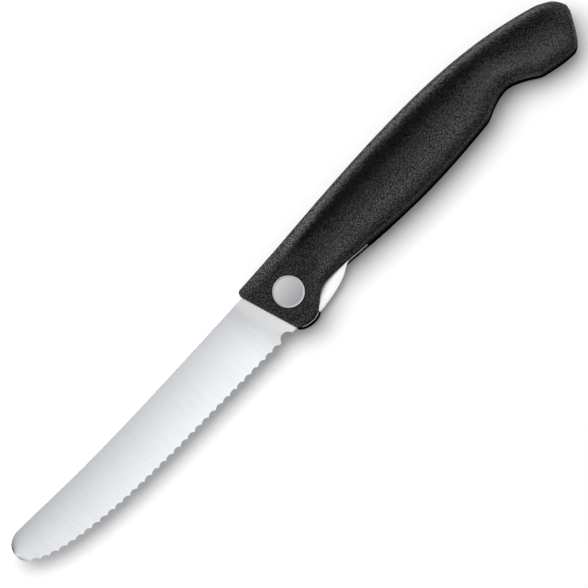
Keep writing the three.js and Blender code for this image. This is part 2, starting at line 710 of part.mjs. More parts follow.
// The knife about its middle plane
const body = new THREE.Group();
body.position.z = midHeight;
body.add(piece("blade", bladeGeometry(), satinSteel()));
body.add(piece("near_scale", nearScaleGeometry(), blackPlastic()));
body.add(piece("far_scale", farScaleGeometry(), blackPlastic()));
body.add(piece("pivot_barrel", barrelGeometry(), satinSteel()));
body.add(piece("pivot_pin", pinGeometry(), satinSteel()));
body.add(piece("near_washer", washerGeometry(BLADE_THICK / 2 + RUN_GAP), paleNylon()));
body.add(piece("far_washer", washerGeometry(-BLADE_THICK / 2 - RUN_GAP - WASHER_THICK), paleNylon()));
body.add(piece("lock_liner", linerGeometry(), satinSteel()));
for (const [name, spot] of Object.entries(RIVET_SPOTS)) {
  body.add(piece(name, rivetGeometry(spot), satinSteel()));
}
const stopReach = slotHalf + STOP_SEAT;
body.add(piece("stop_pin", rod(STOP_RADIUS, -stopReach, stopReach, stopSpot, SMALL_STEPS), satinSteel()));

// The lock arm, bent away from the tang about its root
const armHinge = new THREE.Vector3(ARM_ROOT, 0, -slotHalf - LINER_THICK / 2);
const arm = new THREE.Group();
arm.position.copy(armHinge);
arm.rotation.y = -armSwing;
const studHole = rod(STUD_RADIUS + FIT_GAP, -outside, 0, studSpot, SMALL_STEPS);
const armSolid = cut(solid(plate(armOutline(), -linerFloor, -slotHalf)), studHole);
const studTop = STUD_REACH - BLADE_THICK / 2;
const armPieces = [
  piece("lock_arm", geometryOf(armSolid), satinSteel()),
  piece("lock_stud", rod(STUD_RADIUS, -linerFloor, studTop, studSpot, SMALL_STEPS), satinSteel()),
];
for (const mesh of armPieces) {
  mesh.position.copy(armHinge).negate();
  arm.add(mesh);
}
body.add(arm);

const knife = new THREE.Group();
knife.add(body);

export default knife;
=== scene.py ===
# A folding paring knife, open, lying on a white studio floor.
# The knife's sizes are in millimetres about the middle plane of the blade slot, with the pivot axis as
# the z axis, the butt towards +x, the spine towards +y and the near side towards +z.
import json
import math

import bpy
import numpy as np
from mathutils import Matrix, Vector


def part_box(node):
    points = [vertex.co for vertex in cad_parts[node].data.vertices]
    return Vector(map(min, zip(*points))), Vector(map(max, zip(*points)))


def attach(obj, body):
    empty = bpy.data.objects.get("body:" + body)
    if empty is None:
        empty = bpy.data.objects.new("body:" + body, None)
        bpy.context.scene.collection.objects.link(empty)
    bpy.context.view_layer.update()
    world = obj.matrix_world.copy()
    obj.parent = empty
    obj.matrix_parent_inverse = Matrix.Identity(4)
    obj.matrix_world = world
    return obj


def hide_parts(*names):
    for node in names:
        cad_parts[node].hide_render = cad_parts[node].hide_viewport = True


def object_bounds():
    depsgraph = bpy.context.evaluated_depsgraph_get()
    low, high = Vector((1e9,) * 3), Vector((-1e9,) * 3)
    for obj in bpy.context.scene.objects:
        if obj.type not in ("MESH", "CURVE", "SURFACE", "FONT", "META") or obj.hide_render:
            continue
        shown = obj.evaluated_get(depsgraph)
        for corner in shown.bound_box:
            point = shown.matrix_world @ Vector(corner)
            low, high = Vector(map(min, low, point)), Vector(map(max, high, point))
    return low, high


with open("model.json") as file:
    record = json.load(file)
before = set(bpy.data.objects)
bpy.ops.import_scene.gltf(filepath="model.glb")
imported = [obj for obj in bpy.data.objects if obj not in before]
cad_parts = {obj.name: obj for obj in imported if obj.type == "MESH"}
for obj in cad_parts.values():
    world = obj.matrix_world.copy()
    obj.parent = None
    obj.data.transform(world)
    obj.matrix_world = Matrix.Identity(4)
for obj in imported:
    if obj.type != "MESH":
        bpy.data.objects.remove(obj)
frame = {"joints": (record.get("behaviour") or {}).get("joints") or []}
cad_low, cad_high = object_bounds()

# Camera
# The knife is seen from above its near side, from a little to the belly side, with the blade running
# down to the left. A long lens far away keeps the whole knife at one scale.
MM = 0.001
IMAGE_SIZE = 588
PIVOT_PIXEL = (288.5, 291.6)
PIXEL_SIZE = 0.3125 * MM
CAMERA_LEAN = math.radians(10)
CAMERA_ROLL = math.radians(45)
CAMERA_DISTANCE = 1.1

rivet_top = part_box("pivot_pin")[1].z
along = Vector((1, 0, 0))
upward = Vector((0, math.cos(CAMERA_LEAN), math.sin(CAMERA_LEAN)))
to_camera = along.cross(upward)
image_right = along * math.cos(CAMERA_ROLL) - upward * math.sin(CAMERA_ROLL)
image_up = along * math.sin(CAMERA_ROLL) + upward * math.cos(CAMERA_ROLL)
right_shift = (IMAGE_SIZE / 2 - PIVOT_PIXEL[0]) * PIXEL_SIZE
up_shift = (PIVOT_PIXEL[1] - IMAGE_SIZE / 2) * PIXEL_SIZE
target = Vector((0, 0, rivet_top)) + image_right * right_shift + image_up * up_shift

camera = bpy.data.objects.new("camera", bpy.data.cameras.new("camera"))
camera.data.lens = camera.data.sensor_width * CAMERA_DISTANCE / (IMAGE_SIZE * PIXEL_SIZE)
turn = Matrix((image_right, image_up, to_camera)).transposed().to_4x4()
camera.matrix_world = Matrix.Translation(target + to_camera * CAMERA_DISTANCE) @ turn
bpy.context.scene.collection.objects.link(camera)
bpy.context.scene.camera = camera
bpy.context.scene.view_settings.view_transform = "Standard"

# Studio
# A white floor that fades into a white backdrop, under one wide lamp on the spine side, which throws the
# knife's soft shadow towards its belly. Steel and plastic mirror a softbox overhead, a dim ceiling and
# the walls, with a strip light along the spine side.
FLOOR_HALF = 12
FLOOR_CORNERS = ((-1, -1), (1, -1), (1, 1), (-1, 1))
FLOOR_COLOUR = (0.86, 0.86, 0.86, 1)
FLOOR_FADE = (0.2, 0.45)
BACKDROP = (1, 1, 1, 1)
BACKDROP_HEIGHT = (0.085, 0.1)
LAMP_SIZE = (0.9, 0.62)
LAMP_LEAN = math.radians(20.5)
LAMP_DISTANCE = 0.85
LAMP_WATTS = 7.3
FILL = (0.52, 0.52, 0.52, 1)
CEILING = (0.03, 0.031, 0.033, 1)
CEILING_BELLY = (0.5, 0.5, 0.5, 1)
CEILING_ENDS = (0.7, 0.7, 0.7, 1)
CEILING_SLOPE = math.radians(40)
CEILING_TURN = (math.radians(18), math.radians(38))
ROOM_BELLY = (0.2, 0.2, 0.2, 1)
ROOM_SPINE = (0.8, 0.8, 0.8, 1)
ROOM_TURN = (-0.35, 0.4)
ROOM_HEIGHT = (0.05, 0.64)
STRIP_LIGHT = (4.4, 4.4, 4.4, 1)
STRIP_TURN = (math.radians(20), math.radians(38))
SOFTBOX = (1.6, 1.6, 1.6, 1)
SOFTBOX_ACROSS = (-13.5, -6.5, 24, 36)
SOFTBOX_ALONG = (-16, -5, 12, 24)


class Shade:
    """An output of a shader node. Arithmetic on it adds Math nodes to the same tree."""

    def __init__(self, tree, socket=None):
        self.tree = tree
        self.socket = socket

    def add(self, kind, settings=None, inputs=None, output=0):
        """A new node: its settings first, then the values or links of its sockets."""
        node = self.tree.nodes.new(kind)
        for name, value in (settings or {}).items():
            setattr(node, name, value)
        for name, value in (inputs or {}).items():
            self.join(value, node.inputs[name])
        return Shade(self.tree, node.outputs[output])

    def join(self, value, target):
        if isinstance(value, Shade):
            self.tree.links.new(value.socket, target)
        else:
            target.default_value = value

    def math(self, operation, first, second):
        return self.add("ShaderNodeMath", {"operation": operation}, {0: first, 1: second})

    def __add__(self, other):
        return self.math("ADD", self, other)

    __radd__ = __add__

    def __mul__(self, other):
        return self.math("MULTIPLY", self, other)

    __rmul__ = __mul__

    def __sub__(self, other):
        return self.math("SUBTRACT", self, other)

    def __rsub__(self, other):
        return self.math("SUBTRACT", other, self)

    def __truediv__(self, other):
        return self.math("DIVIDE", self, other)

    def __abs__(self):
        return self.math("ABSOLUTE", self, 0.0)

    def axis(self, name):
        """One coordinate of a vector."""
        return self.add("ShaderNodeSeparateXYZ", None, {0: self}, output=name)

    def clamp(self):
        return self.add("ShaderNodeClamp", None, {"Value": self})

    def smooth(self, low, high):
        """0 at low, 1 at high, with soft ends."""
        settings = {"interpolation_type": "SMOOTHSTEP"}
        return self.add("ShaderNodeMapRange", settings, {"Value": self, 1: low, 2: high})

    def band(self, degrees):
        """1 between the second and third of four angles, 0 outside the first and last."""
        rise, full, ease, end = [math.radians(angle) for angle in degrees]
        return self.smooth(rise, full) * (1 - self.smooth(ease, end))

    def blend(self, start, end):
        """A colour between two, by this value."""
        inputs = {0: self, 6: start, 7: end}
        return self.add("ShaderNodeMix", {"data_type": "RGBA"}, inputs, output=2)

    def seen(self):
        """1 for what the camera sees, directly or in metal, plastic and glass."""
        direct, glossy, through = [
            self.add("ShaderNodeLightPath", output="Is %s Ray" % kind)
            for kind in ("Camera", "Glossy", "Transmission")
        ]
        return (direct + glossy + through).clamp()


lamp = bpy.data.lights.new("soft_lamp", "AREA")
lamp.shape = "RECTANGLE"
lamp.size, lamp.size_y = LAMP_SIZE
lamp.energy = LAMP_WATTS
soft_lamp = bpy.data.objects.new("soft_lamp", lamp)
tilt = Matrix.Rotation(-LAMP_LEAN, 4, "X")
soft_lamp.matrix_world = tilt @ Matrix.Translation((0, 0, LAMP_DISTANCE))
soft_lamp.visible_glossy = False
bpy.context.scene.collection.objects.link(soft_lamp)

world = bpy.data.worlds.new("studio")
world.use_nodes = True
bpy.context.scene.world = world
sky = Shade(world.node_tree)
direction = sky.add("ShaderNodeTexCoord", output="Generated")
aside, to_spine, height = [direction.axis(name) for name in "XYZ"]
across_sky = sky.math("ARCTAN2", 0 - to_spine, height)
along_sky = sky.math("ARCTAN2", aside, height)
from_spine = abs(sky.math("ARCTAN2", aside, to_spine))
over_knife = across_sky.smooth(0, CEILING_SLOPE).blend(CEILING, CEILING_BELLY)
ceiling = abs(along_sky).smooth(*CEILING_TURN).blend(over_knife, CEILING_ENDS)
walls = to_spine.smooth(*ROOM_TURN).blend(ROOM_BELLY, ROOM_SPINE)
lit_walls = from_spine.smooth(*STRIP_TURN).blend(STRIP_LIGHT, walls)
room = height.smooth(*ROOM_HEIGHT).blend(lit_walls, ceiling)
softbox = across_sky.band(SOFTBOX_ACROSS) * along_sky.band(SOFTBOX_ALONG)
studio = height.smooth(*BACKDROP_HEIGHT).blend(BACKDROP, softbox.blend(room, SOFTBOX))
sky.join(sky.seen().blend(FILL, studio), world.node_tree.nodes["Background"].inputs["Color"])

floor_mesh = bpy.data.meshes.new("floor")
corners = [(x * FLOOR_HALF, y * FLOOR_HALF, cad_low.z) for x, y in FLOOR_CORNERS]
floor_mesh.from_pydata(corners, [], [(0, 1, 2, 3)])
floor = bpy.data.objects.new("floor", floor_mesh)
bpy.context.scene.collection.objects.link(floor)
floor_finish = bpy.data.materials.new("white_floor")
floor_finish.use_nodes = True
ground = Shade(floor_finish.node_tree)
paint = ground.add("ShaderNodeBsdfDiffuse", None, {"Color": FLOOR_COLOUR})
white = ground.add("ShaderNodeEmission", None, {"Color": BACKDROP})
from_pivot = ground.add("ShaderNodeTexCoord", output="Object")
apart = ground.add("ShaderNodeVectorMath", {"operation": "LENGTH"}, {0: from_pivot}, output="Value")
faded = apart.smooth(*FLOOR_FADE) * ground.seen()
floor_top = ground.add("ShaderNodeMixShader", None, {0: faded, 1: paint, 2: white})
ground.join(floor_top, floor_finish.node_tree.nodes["Material Output"].inputs["Surface"])
floor_mesh.materials.append(floor_finish)

# Far handle half
# A black plastic moulding, crowned outside and flat inside, with the blade slot, the pocket of the
# liner and the seat of the pivot sunk into it. Its spine wall reaches across to the near half.

# Blade and washer, as far as the handle is made to fit them
BLADE_REACH = 119.2
BLADE_THICK = 1.5
EDGE_DEPTH = 9.6
TIP_HEIGHT = 3.05
SWEEP = 59.2
SWEEP_POWER = 2.5
WASHER_THICK = 0.4

# Play where pieces run, fit, seat or lie in a pocket
RUN_GAP = 0.04
FIT_GAP = 0.08
SEAT_GAP = 0.05
POCKET_GAP = 0.15

# Pivot rivet and stop pin
BARREL_RADIUS = 3
HEAD_RADIUS = 5.2
HEAD_THICK = 1.3
HEAD_PROUD = 0.15
HEAD_GAP = 0.15
SEAT_LIP = 0.3
STOP_RADIUS = 1.25
STOP_SPOT = (-0.852, 9.733)
STOP_SEAT = 1

# Outline of the front, the spine and the butt
FRONT_TOP = 11.85
FRONT_LOW = 6.1
ARCH_FRONT = 11.77
ARCH_AT = 66.6
ARCH_PEAK = 16.22
BUTT_REACH = 125.2
BUTT_LEAN = 0.4
BUTT_TOP = 9.7
BUTT_ROUND = 8.2
BUTT_END_HIGH = 2.6
BUTT_END_LOW = 0.6

# Outline of the belly: front lobe, thumb recess, grip, finger notch and hook
LOBE_DEPTH = 11.2
LOBE_AT = 0.2
LOBE_RISE = 1.8
FLANK_AT = 5
FLANK_DEPTH = 8.3
RECESS_DEPTH = 5.25
RECESS_AT = 11.2
RECESS_END = 22.6
RECESS_END_DEPTH = 5.9
GRIP_DEPTH = 7.55
GRIP_AT = 51
NOTCH_DEPTH = 2.35
NOTCH_AT = 93
NOTCH_LEAD = 11.4
NOTCH_TAIL = 11.6
NOTCH_LIP = 5.75
HOOK_DEPTH = 9.55
HOOK_AT = 116.2
FAR_LIP = 0.2

# Thickness and crown
BOLSTER_HALF = 5.45
GRIP_HALF = 7.4
BUTT_HALF = 6.2
BOLSTER_POWER = 6
GRIP_POWER = 2.4
SPINE_POWER = 2.15
SHOULDER = 0.48
SHOULDER_FRONT = 0.34
SHOULDER_PITCH = 2.05
SHOULDER_FALL = 0.7
SHOULDER_ROUND = 0.2
SWELL_START = 5
SWELL_END = 38
STRAIGHT_WALL = 1.2
FRONT_FILLET = 1.5
BUTT_FILLET = 8

# Slot, pegs and seam
SLOT_FRONT = 3
EDGE_GAP = 0.9
TIP_GAP = 1.3
PEG_RADIUS = 1.6
PEG_LENGTH = 2.1
PEGS_AT = (34.2, 72.2, 106.2)
SEAM_CHAMFER = 0.16

# Liner, its rivets and the lock arm, as far as their pocket is made to fit them
LINER_THICK = 1
LINER_TOP = 6.983
LINER_LOW = 5.2
LINER_REAR = 58
LINER_WALL = 0.8
RIVET_RADIUS = 1.2
RIVET_GRIP = 2.2
RIVET_SPOTS = {
    "liner_rivet_front": (20, 3.6),
    "liner_rivet_upper": (53.2, 3.4),
    "liner_rivet_lower": (53.2, -2.2),
}
ARM_FRONT = 2.45
ARM_TOP = 0.8
ARM_CLEAR = 4.4
ARM_GAP = 0.4
ARM_ROOT = 48
ARM_SWING = math.radians(1.656)
FLUSH_END = 28

# Fineness of the mesh
HANDLE_STEPS = 240
SECTION_STEPS = 44
FILLET_STEPS = 12
ROUND_STEPS = 96
LIP_STEPS = 6
SLOT_STEPS = 60
ARM_STEPS = 24
OUTSIDE = 30
SMOOTH_BELOW = math.radians(35)

# Plastic, its grain, and the painted shade on its seam walls and belly slopes
PLASTIC = (0.0026, 0.0026, 0.0029, 1)
PLASTIC_WORN = (0.0055, 0.0055, 0.0060, 1)
PLASTIC_IOR = 1.95
PLASTIC_ROUGH = (0.2, 0.12)
PLASTIC_CLOUD = 160.0
CLOUD_ROUGH = 0.05
BOLSTER_MATT = 0.28
MATT_FADE = (4, 16)
GRAIN_SCALE = 2200.0
GRAIN_SLOPE = (0.12, 0.65)
GRAIN_TONE = 0.6
GRAIN_HEIGHT = 0.06 * MM
GRAIN_RELIEF = 0.5
PIT_SHINE = 0.17
# Painted shade on the seam walls and belly slopes: what the near walls keep, and where it fades in
NEAR_WALL_UNSHADED = 0.15
WALL_SHADE_FADE = (-0.1, 0.3)
SEAM_FADE = (-0.1, 0.1)
BELLY_SHADE_FADES = ((0.5, 0.8), (0.85, 1.0))

middle = frame["joints"][0]["pos_m"][2]
slot_half = BLADE_THICK / 2 + WASHER_THICK + 2 * RUN_GAP
mid_height = BOLSTER_HALF + HEAD_PROUD
head_seat = mid_height - HEAD_THICK
butt_low = BUTT_REACH - BUTT_LEAN
liner_floor = slot_half + LINER_THICK
arm_drop = (ARM_ROOT - ARM_FRONT) * math.tan(ARM_SWING)


def lerp(start, end, share):
    return start + (end - start) * share


def smoothstep(x, low, high):
    share = np.clip((x - low) / (high - low), 0, 1)
    return share * share * (3 - 2 * share)


def smooth_line(nodes):
    """A smooth line y(x) through nodes of (x, y, slope)."""
    spots = np.array(nodes, float)

    def line(x):
        i = np.clip(np.searchsorted(spots[:, 0], x) - 1, 0, len(spots) - 2)
        x0, y0, slope0 = np.moveaxis(spots[i], -1, 0)
        x1, y1, slope1 = np.moveaxis(spots[i + 1], -1, 0)
        width = x1 - x0
        t = (x - x0) / width
        s = 1 - t
        ends = s * s * (1 + 2 * t) * y0 + t * t * (1 + 2 * s) * y1
        return ends + s * t * width * (s * slope0 - t * slope1)

    return line


spine_line = smooth_line([
    (-FRONT_TOP, ARCH_FRONT - FRONT_FILLET, 3),
    (-FRONT_TOP + FRONT_FILLET, ARCH_FRONT, 0.065),
    (ARCH_AT, ARCH_PEAK, 0),
    (BUTT_REACH - BUTT_ROUND, BUTT_TOP, -0.3),
    (BUTT_REACH - 0.4 * BUTT_ROUND, 0.75 * BUTT_TOP, -0.62),
    (BUTT_REACH, BUTT_END_HIGH, -2.6),
])
belly_line = smooth_line([
    (-FRONT_LOW, LOBE_RISE - LOBE_DEPTH, -0.8),
    (-LOBE_AT, -LOBE_DEPTH, 0),
    (FLANK_AT, -FLANK_DEPTH, 0.9),
    (RECESS_AT, -RECESS_DEPTH, 0),
    (RECESS_END, -RECESS_END_DEPTH, -0.085),
    (GRIP_AT, -GRIP_DEPTH, 0),
    (NOTCH_AT - NOTCH_LEAD, -NOTCH_LIP, 0.1),
    (NOTCH_AT - 0.77 * NOTCH_LEAD, lerp(-NOTCH_LIP, -NOTCH_DEPTH, 0.28), 0.45),
    (NOTCH_AT, -NOTCH_DEPTH, 0),
    (NOTCH_AT + 0.69 * NOTCH_TAIL, lerp(-NOTCH_DEPTH, -HOOK_DEPTH, 0.45), -0.62),
    (NOTCH_AT + NOTCH_TAIL, lerp(-NOTCH_DEPTH, -HOOK_DEPTH, 0.74), -0.25),
    (HOOK_AT, -HOOK_DEPTH, 0),
    (lerp(HOOK_AT, BUTT_REACH, 1 / 3), -0.85 * HOOK_DEPTH, 1),
    (butt_low, BUTT_END_LOW, 2),
])
swell_line = smooth_line([
    (SWELL_START, 0, 0),
    (lerp(SWELL_START, SWELL_END, 0.09), 0.1, 0.075),
    (lerp(SWELL_START, SWELL_END, 0.21), 0.39, 0.065),
    (lerp(SWELL_START, SWELL_END, 0.33), 0.57, 0.035),
    (lerp(SWELL_START, SWELL_END, 0.575), 0.8, 0.026),
    (SWELL_END, 1, 0),
])


def front_edge(y):
    """x of the handle's slanted front edge at height y."""
    top = spine_line(-FRONT_TOP)
    low = belly_line(-FRONT_LOW)
    return lerp(-FRONT_LOW, -FRONT_TOP, (y - low) / (top - low))


def sweep_depth(ahead):
    """Depth of the cutting edge at a distance ahead of the pivot, where it rises to the tip."""
    share = np.clip(1 - (BLADE_REACH - ahead) / SWEEP, 0, 1)
    left = np.clip(1 - share ** SWEEP_POWER, 0, 1) ** (1 / SWEEP_POWER)
    return (TIP_HEIGHT + EDGE_DEPTH) * left - TIP_HEIGHT


def fillet_rise(inside, radius):
    left = np.clip(1 - inside / radius, 0, 1)
    return np.sqrt(1 - left * left)


def bolster_crown(x, across):
    """Section of the bolster: square at the belly, falling over a rounded shoulder at the spine."""
    width = lerp(SHOULDER_FRONT, SHOULDER, smoothstep(x, -FRONT_TOP, SWELL_START))
    start = (across - 1) / width + 1
    down = (start + np.hypot(start, SHOULDER_ROUND)) / (1 + math.hypot(1, SHOULDER_ROUND))
    belly = (1 - np.maximum(0, -across) ** BOLSTER_POWER) ** (1 / BOLSTER_POWER)
    return belly * (1 - SHOULDER_PITCH * width * lerp(down * down, down, SHOULDER_FALL))


def handle_height(x, across, from_front, from_butt):
    """Outer surface of a handle half. across runs from -1 at the belly to 1 at the spine."""
    swell = swell_line(np.clip(x, SWELL_START, SWELL_END))
    thin = smoothstep(x, ARCH_AT, BUTT_REACH)
    half = lerp(lerp(BOLSTER_HALF, GRIP_HALF, swell), BUTT_HALF, thin)
    power = np.where(across > 0, SPINE_POWER, GRIP_POWER)
    grip_crown = (1 - np.abs(across) ** power) ** (1 / power)
    crown = lerp(bolster_crown(x, across), grip_crown, swell)
    ends = fillet_rise(from_front, FRONT_FILLET) * fillet_rise(from_butt, BUTT_FILLET)
    wall = slot_half + STRAIGHT_WALL
    return wall + (half - wall) * crown * ends


def handle_rings(inner, lip):
    """Closed rings of one near half, from front to butt. The lip lowers its belly at the front."""
    length = (butt_low + BUTT_REACH) / 2 + FRONT_TOP
    first = FRONT_FILLET / length
    last = 1 - BUTT_FILLET / length
    round_in = 1 - np.cos(np.linspace(0, math.pi / 2, FILLET_STEPS, endpoint=False))
    stations = np.concatenate([
        first * round_in,
        np.linspace(first, last, HANDLE_STEPS),
        lerp(1, last, round_in)[::-1],
    ])
    low_x = lerp(-FRONT_LOW, butt_low, stations)
    high_x = lerp(-FRONT_TOP, BUTT_REACH, stations)
    lip_here = lip * (1 - smoothstep(low_x, FLUSH_END, ARM_ROOT))
    low = np.stack([low_x, belly_line(low_x) - lip_here], axis=-1)
    high = np.stack([high_x, spine_line(high_x)], axis=-1)
    up = (high - low) / np.linalg.norm(high - low, axis=-1, keepdims=True)
    across = -np.cos(np.linspace(0, math.pi, SECTION_STEPS + 1))
    spread = low[:, None] + (high - low)[:, None] * ((1 + across) / 2)[None, :, None]
    from_front = (stations * length)[:, None]
    outer = handle_height(spread[..., 0], across[None], from_front, length - from_front)
    crown = np.concatenate([spread, outer[..., None]], axis=-1)

    def row(points, level):
        levels = np.full((len(stations), 1), level)
        return np.concatenate([points, levels], axis=-1)[:, None]

    bevel = up * SEAM_CHAMFER
    return np.concatenate([
        row(low + bevel, inner),
        row(low, inner + SEAM_CHAMFER),
        crown,
        row(high, inner + SEAM_CHAMFER),
        row(high - bevel, inner),
    ], axis=1)


def skin(rings):
    """Vertices and faces of a skin over closed rings, with flat ends."""
    count = rings.shape[1]
    last = (len(rings) - 1) * count
    faces = []
    for ring in range(0, last, count):
        for j in range(count):
            k = (j + 1) % count
            faces.append((ring + j, ring + count + j, ring + count + k, ring + k))
    faces.append(tuple(range(count)))
    faces.append(tuple(last + j for j in reversed(range(count))))
    return rings.reshape(-1, 3), faces


def mirrored(points, faces):
    """The same skin on the far side of the middle plane."""
    return points * (1, 1, -1), [face[::-1] for face in faces]


def turned(profile, spot=(0, 0), steps=ROUND_STEPS):
    """A round skin about z through a profile of (radius, z), listed upwards from axis to axis."""
    points = []
    faces = []
    rows = []
    for radius, level in profile:
        if radius == 0:
            rows.append([len(points)] * steps)
            points.append((spot[0], spot[1], level))
            continue
        rows.append(list(range(len(points), len(points) + steps)))
        for i in range(steps):
            angle = 2 * math.pi * i / steps
            x = spot[0] + radius * math.cos(angle)
            y = spot[1] + radius * math.sin(angle)
            points.append((x, y, level))
    for lower, upper in zip(rows, rows[1:]):
        for i in range(steps):
            k = (i + 1) % steps
            ring = dict.fromkeys((lower[i], lower[k], upper[k], upper[i]))
            faces.append(tuple(ring))
    return np.array(points), faces


def rod(radius, low, high, spot=(0, 0)):
    return turned([(0, low), (radius, low), (radius, high), (0, high)], spot)


def slab(outline, low, high):
    """A flat skin with the given outline, listed anticlockwise, between two levels."""
    outline = np.array(outline, float)
    count = len(outline)
    points = [(x, y, level) for level in (low, high) for x, y in outline]
    faces = [tuple(reversed(range(count))), tuple(range(count, 2 * count))]
    for i in range(count):
        k = (i + 1) % count
        faces.append((i, k, count + k, count + i))
    return np.array(points), faces


def shape(name, points, faces):
    """A new object in the row frame from millimetres about the middle plane."""
    mesh = bpy.data.meshes.new(name)
    mesh.from_pydata([tuple(p) for p in np.asarray(points) * MM + (0, 0, middle)], [], faces)
    mesh.validate()
    made = bpy.data.objects.new(name, mesh)
    bpy.context.scene.collection.objects.link(made)
    return made


def keep_result(made):
    """Makes what the modifiers give the object's own mesh."""
    bpy.context.view_layer.update()
    changed = made.evaluated_get(bpy.context.evaluated_depsgraph_get())
    made.data = bpy.data.meshes.new_from_object(changed)
    made.modifiers.clear()


def carve(made, cutters, operation="DIFFERENCE"):
    """Cuts skins out of an object, or joins them to it."""
    tools = [shape("cutter", *cutter) for cutter in cutters]
    for tool in tools:
        step = made.modifiers.new("carve", "BOOLEAN")
        step.operation = operation
        step.solver = "MANIFOLD"
        step.object = tool
    keep_result(made)
    for tool in tools:
        bpy.data.objects.remove(tool)


def dress(made, finish, body, slot, *nodes):
    """Gives a piece its finish, and its place in the knife."""
    made.data.materials.clear()
    made.data.materials.append(finish)
    made.data.shade_smooth()
    made.data.set_sharp_from_angle(angle=SMOOTH_BELOW)
    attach(made, body)
    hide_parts(*nodes)


def finish_tree(name):
    """A new material, the start of its shader maths, and its surface shader."""
    made = bpy.data.materials.new(name)
    made.use_nodes = True
    return made, Shade(made.node_tree), made.node_tree.nodes["Principled BSDF"]


def mottle(place, scale, detail):
    """A soft cloudy value over a surface."""
    return place.add("ShaderNodeTexNoise", None, {"Vector": place, "Scale": scale, "Detail": detail})


def moulded_plastic():
    """Black plastic with the fine even grain of a spark-eroded mould."""
    made, shade, surface = finish_tree("black_moulded_plastic")
    place = shade.add("ShaderNodeTexCoord", output="Object")
    cells = shade.add("ShaderNodeTexVoronoi", None, {"Vector": place, "Scale": GRAIN_SCALE})
    cloud = mottle(place, PLASTIC_CLOUD, 3.0)
    peaks = 1 - cells.smooth(*GRAIN_SLOPE)
    tone = lerp(cloud, peaks, GRAIN_TONE).clamp()
    shade.join(tone.blend(PLASTIC, PLASTIC_WORN), surface.inputs["Base Color"])
    matt = BOLSTER_MATT * (1 - (place.axis("X") / MM).smooth(*MATT_FADE))
    rough = lerp(*PLASTIC_ROUGH, peaks) + CLOUD_ROUGH * cloud + matt
    shade.join(rough, surface.inputs["Roughness"])
    relief = {"Strength": GRAIN_RELIEF, "Distance": GRAIN_HEIGHT, "Height": peaks}
    shade.join(shade.add("ShaderNodeBump", None, relief), surface.inputs["Normal"])
    surface.inputs["IOR"].default_value = PLASTIC_IOR
    # Painted shade: the seam walls and steep belly slopes are mixed towards a flat black diffuse.
    level = (place.axis("Z") - middle) / MM
    to_belly = 0 - shade.add("ShaderNodeTexCoord", output="Normal").axis("Y")
    belly_shade = sum(to_belly.smooth(*fade) for fade in BELLY_SHADE_FADES) / len(BELLY_SHADE_FADES)
    wall = slot_half + STRAIGHT_WALL
    crowned = abs(level).smooth(wall + WALL_SHADE_FADE[0], wall + WALL_SHADE_FADE[1]) * (1 - belly_shade)
    near_wall_unshaded = NEAR_WALL_UNSHADED * level.smooth(*SEAM_FADE)
    pit_shine_and_painted_shade = lerp(near_wall_unshaded, 1, crowned) * lerp(PIT_SHINE, 1, peaks)
    grained = Shade(made.node_tree, surface.outputs[0])
    # The flat black diffuse that paints the shade on the walls and belly slopes
    painted_shade = shade.add("ShaderNodeBsdfDiffuse", None, {"Color": PLASTIC})
    moulded = shade.add("ShaderNodeMixShader", None, {0: pit_shine_and_painted_shade, 1: painted_shade, 2: grained})
    shade.join(moulded, made.node_tree.nodes["Material Output"].inputs["Surface"])
    return made


def pivot_seat():
    """Bore of one half with the counterbore of the rivet's head and its rounded lip."""
    wall = HEAD_RADIUS + HEAD_GAP
    lip = [
        (wall + SEAT_LIP * (1 - math.cos(a)), BOLSTER_HALF - SEAT_LIP + SEAT_LIP * math.sin(a))
        for a in np.linspace(0, math.pi / 2, LIP_STEPS)
    ]
    return turned([
        (0, -OUTSIDE),
        (BARREL_RADIUS + FIT_GAP, -OUTSIDE),
        (BARREL_RADIUS + FIT_GAP, head_seat - SEAT_GAP),
        (wall, head_seat - SEAT_GAP),
        *lip,
        (lip[-1][0], OUTSIDE),
        (0, OUTSIDE),
    ])


def slot_outline():
    """Space for the folded blade, open to the belly and the front."""
    share = np.sin(np.linspace(0, math.pi / 2, SLOT_STEPS)) ** (2 / SWEEP_POWER)
    ahead = lerp(BLADE_REACH - SWEEP, BLADE_REACH, share)
    wall = BLADE_REACH + TIP_GAP
    upper = [(x, EDGE_GAP + sweep_depth(x)) for x in ahead]
    outline = [
        (-OUTSIDE, OUTSIDE),
        (SLOT_FRONT, OUTSIDE),
        (SLOT_FRONT, EDGE_DEPTH + EDGE_GAP),
        *upper,
        (wall, EDGE_GAP - TIP_HEIGHT),
        (wall, -OUTSIDE),
        (-OUTSIDE, -OUTSIDE),
    ]
    return outline[::-1]


def pocket_outline():
    """Pocket of the liner, open to the belly as far as the arm lies flush."""
    top = LINER_TOP + POCKET_GAP
    low = -LINER_LOW - POCKET_GAP
    rear = LINER_REAR + POCKET_GAP
    return [
        (front_edge(top) + LINER_WALL, top),
        (front_edge(-OUTSIDE) + LINER_WALL, -OUTSIDE),
        (FLUSH_END + ARM_GAP, -OUTSIDE),
        (FLUSH_END + ARM_GAP, low),
        (rear, low),
        (rear, top),
    ]


def arm_upper_edge(grow):
    """Upper side of the arm from root to front, passing under the pivot."""
    clear = ARM_CLEAR - grow
    start = -math.asin((ARM_TOP - grow) / clear)
    end = -math.acos((ARM_FRONT - grow) / clear)
    bend = [(clear * math.cos(a), clear * math.sin(a)) for a in np.linspace(start, end, ARM_STEPS)]
    return [(ARM_ROOT + grow, grow - ARM_TOP), *bend]


def arm_room_outline():
    """Room round the arm, open to the belly."""
    return arm_upper_edge(ARM_GAP) + [
        (ARM_FRONT - ARM_GAP, -OUTSIDE),
        (FLUSH_END + ARM_GAP, -OUTSIDE),
        (FLUSH_END + ARM_GAP, -LINER_LOW - ARM_GAP),
        (ARM_ROOT + ARM_GAP, -LINER_LOW - ARM_GAP),
    ]


